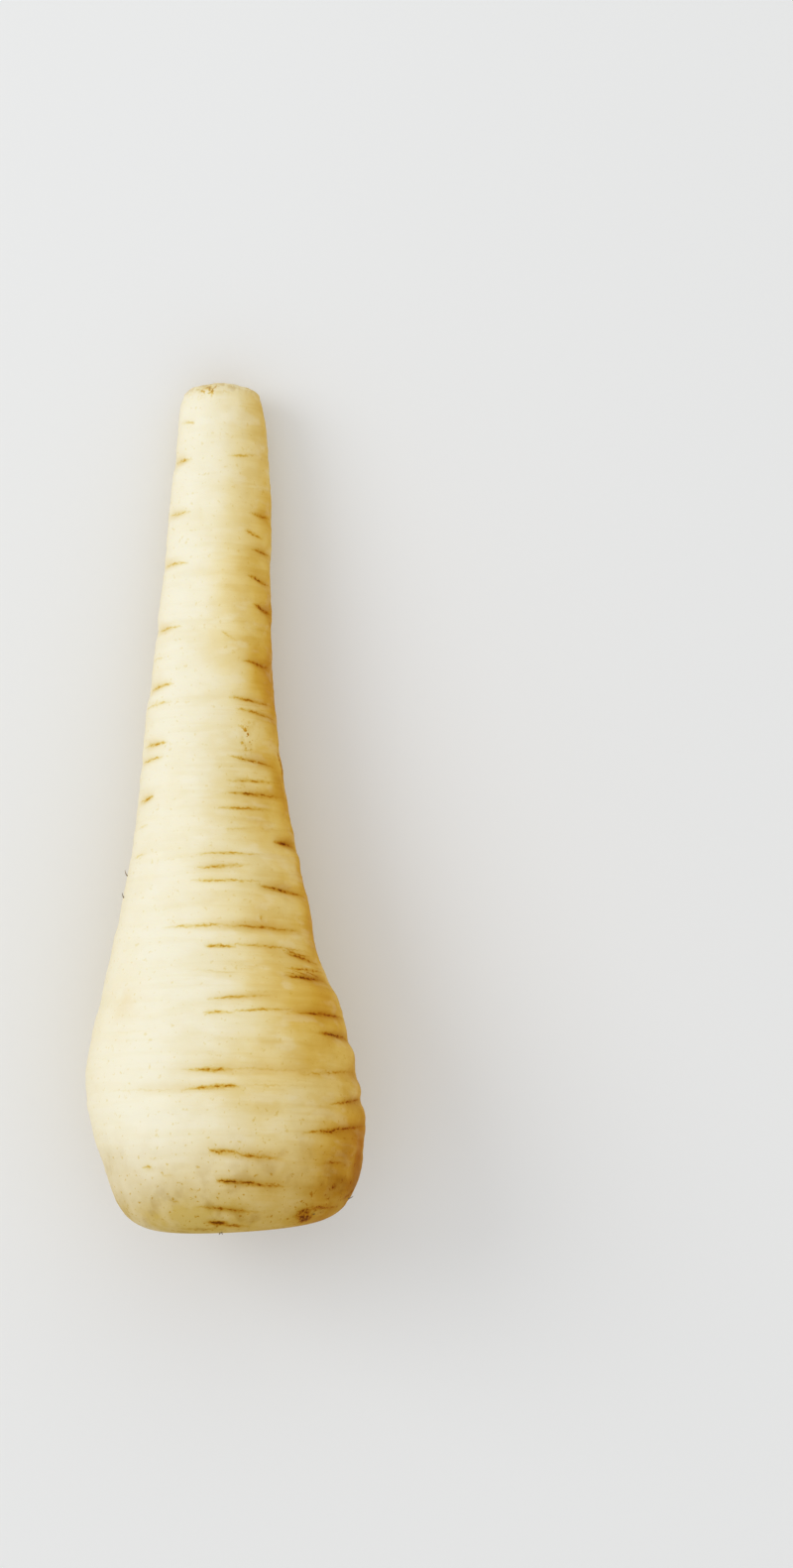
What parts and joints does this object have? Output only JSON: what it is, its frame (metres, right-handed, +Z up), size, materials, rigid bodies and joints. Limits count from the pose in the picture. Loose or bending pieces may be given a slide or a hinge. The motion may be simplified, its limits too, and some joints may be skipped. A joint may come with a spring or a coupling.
{
  "type": "parsnip",
  "caption": "Cream parsnip taproot lying on its side, with a broad shoulder, a narrow waist, a blunt broken tail and dry leaf-stalk stubs in its sunken crown.",
  "frame": {"origin": "middle of the footprint, on the surface that the root lies on", "axes": "+Y along the root towards its tail, +Z up, +X to the right seen from above with the tail at the far end"},
  "size_m": [0.0518, 0.1579, 0.0498],
  "materials": {
    "skin": "satin",
    "dry_stalk": "matte"
  },
  "bodies": {
    "root": {"root": "skin", "leaf_stalk_stubs": "dry_stalk"}
  },
  "joints": []
}
